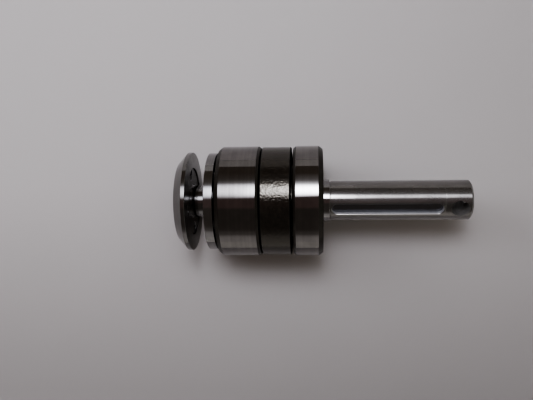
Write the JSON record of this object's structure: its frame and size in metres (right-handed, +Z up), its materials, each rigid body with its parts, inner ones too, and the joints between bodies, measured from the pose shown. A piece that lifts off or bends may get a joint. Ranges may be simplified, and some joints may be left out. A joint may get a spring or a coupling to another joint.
{
  "type": "stud cam follower",
  "caption": "Stud-type cam follower with a wide and a narrow ball-bearing roller, a black ring between them, a keyed stem and a sprung mushroom button.",
  "frame": {"origin": "on the follower's axis, in the shoulder face where the mounting stem begins", "axes": "+X along the stem away from the rollers, +Z up with the rollers lying on a table, +Y completes the right-handed frame"},
  "size_m": [0.1641, 0.062, 0.062],
  "materials": {
    "ground_steel": "ground along the stem, fine turning marks",
    "bearing_steel": "superfinished, mirror-like",
    "plunger_steel": "hardened and polished",
    "cap_steel": "polished, slightly brushed",
    "black_oxide": "black oxide, oiled semi-gloss",
    "bronze": "machined",
    "seal_rubber": "satin",
    "cage_polymer": "natural nylon",
    "ball_steel": "polished",
    "spring_steel": "oil tempered",
    "screw_steel": "blackened"
  },
  "bodies": {
    "stud": {"stud": "ground_steel", "guide_bush": "bronze", "plunger_seal": "seal_rubber", "return_spring": "spring_steel", "front_inner_ring": "bearing_steel", "inner_spacer": "ground_steel", "rear_inner_ring": "bearing_steel", "rear_snap_ring": "black_oxide"},
    "front_roller": {"front_outer_ring": "bearing_steel", "front_seal_left": "seal_rubber", "front_seal_right": "seal_rubber"},
    "front_cages": {"front_cage_left": "cage_polymer", "front_cage_right": "cage_polymer", "front_balls_left": "ball_steel", "front_balls_right": "ball_steel"},
    "centre_ring": {"centre_ring": "black_oxide"},
    "rear_roller": {"rear_outer_ring": "bearing_steel", "rear_seal_left": "seal_rubber", "rear_seal_right": "seal_rubber"},
    "rear_cage": {"rear_cage": "cage_polymer", "rear_balls": "ball_steel"},
    "spring_seat": {"spring_seat": "ground_steel"},
    "button": {"plunger": "plunger_steel", "stop_ring": "spring_steel", "wear_cap": "cap_steel", "cap_screws": "screw_steel"}
  },
  "joints": [
    {"name": "front_roller_spin", "type": "hinge", "parent": "stud", "child": "front_roller", "pos_m": [-0.0497, 0, 0], "axis": [1, 0, 0], "continuous": true},
    {"name": "front_cage_spin", "type": "hinge", "parent": "stud", "child": "front_cages", "pos_m": [-0.0497, 0, 0], "axis": [1, 0, 0], "continuous": true},
    {"name": "centre_ring_spin", "type": "hinge", "parent": "stud", "child": "centre_ring", "pos_m": [-0.0293, 0, 0], "axis": [1, 0, 0], "continuous": true},
    {"name": "rear_roller_spin", "type": "hinge", "parent": "stud", "child": "rear_roller", "pos_m": [-0.0119, 0, 0], "axis": [1, 0, 0], "continuous": true},
    {"name": "rear_cage_spin", "type": "hinge", "parent": "stud", "child": "rear_cage", "pos_m": [-0.0125, 0, 0], "axis": [1, 0, 0], "continuous": true},
    {"name": "button_slide", "type": "slide", "parent": "stud", "child": "spring_seat", "axis": [1, 0, 0], "range_m": [0, 0.0095], "stiffness_N_per_m": 2500, "springref_m": -0.008, "deforming": ["return_spring"]},
    {"name": "button_turn", "type": "hinge", "parent": "spring_seat", "child": "button", "pos_m": [-0.08, 0, 0], "axis": [1, 0, 0], "continuous": true}
  ],
  "couplings": [
    {"joint": "front_cage_spin", "follows": "front_roller_spin", "ratio": 0.5863},
    {"joint": "rear_cage_spin", "follows": "rear_roller_spin", "ratio": 0.6035}
  ]
}
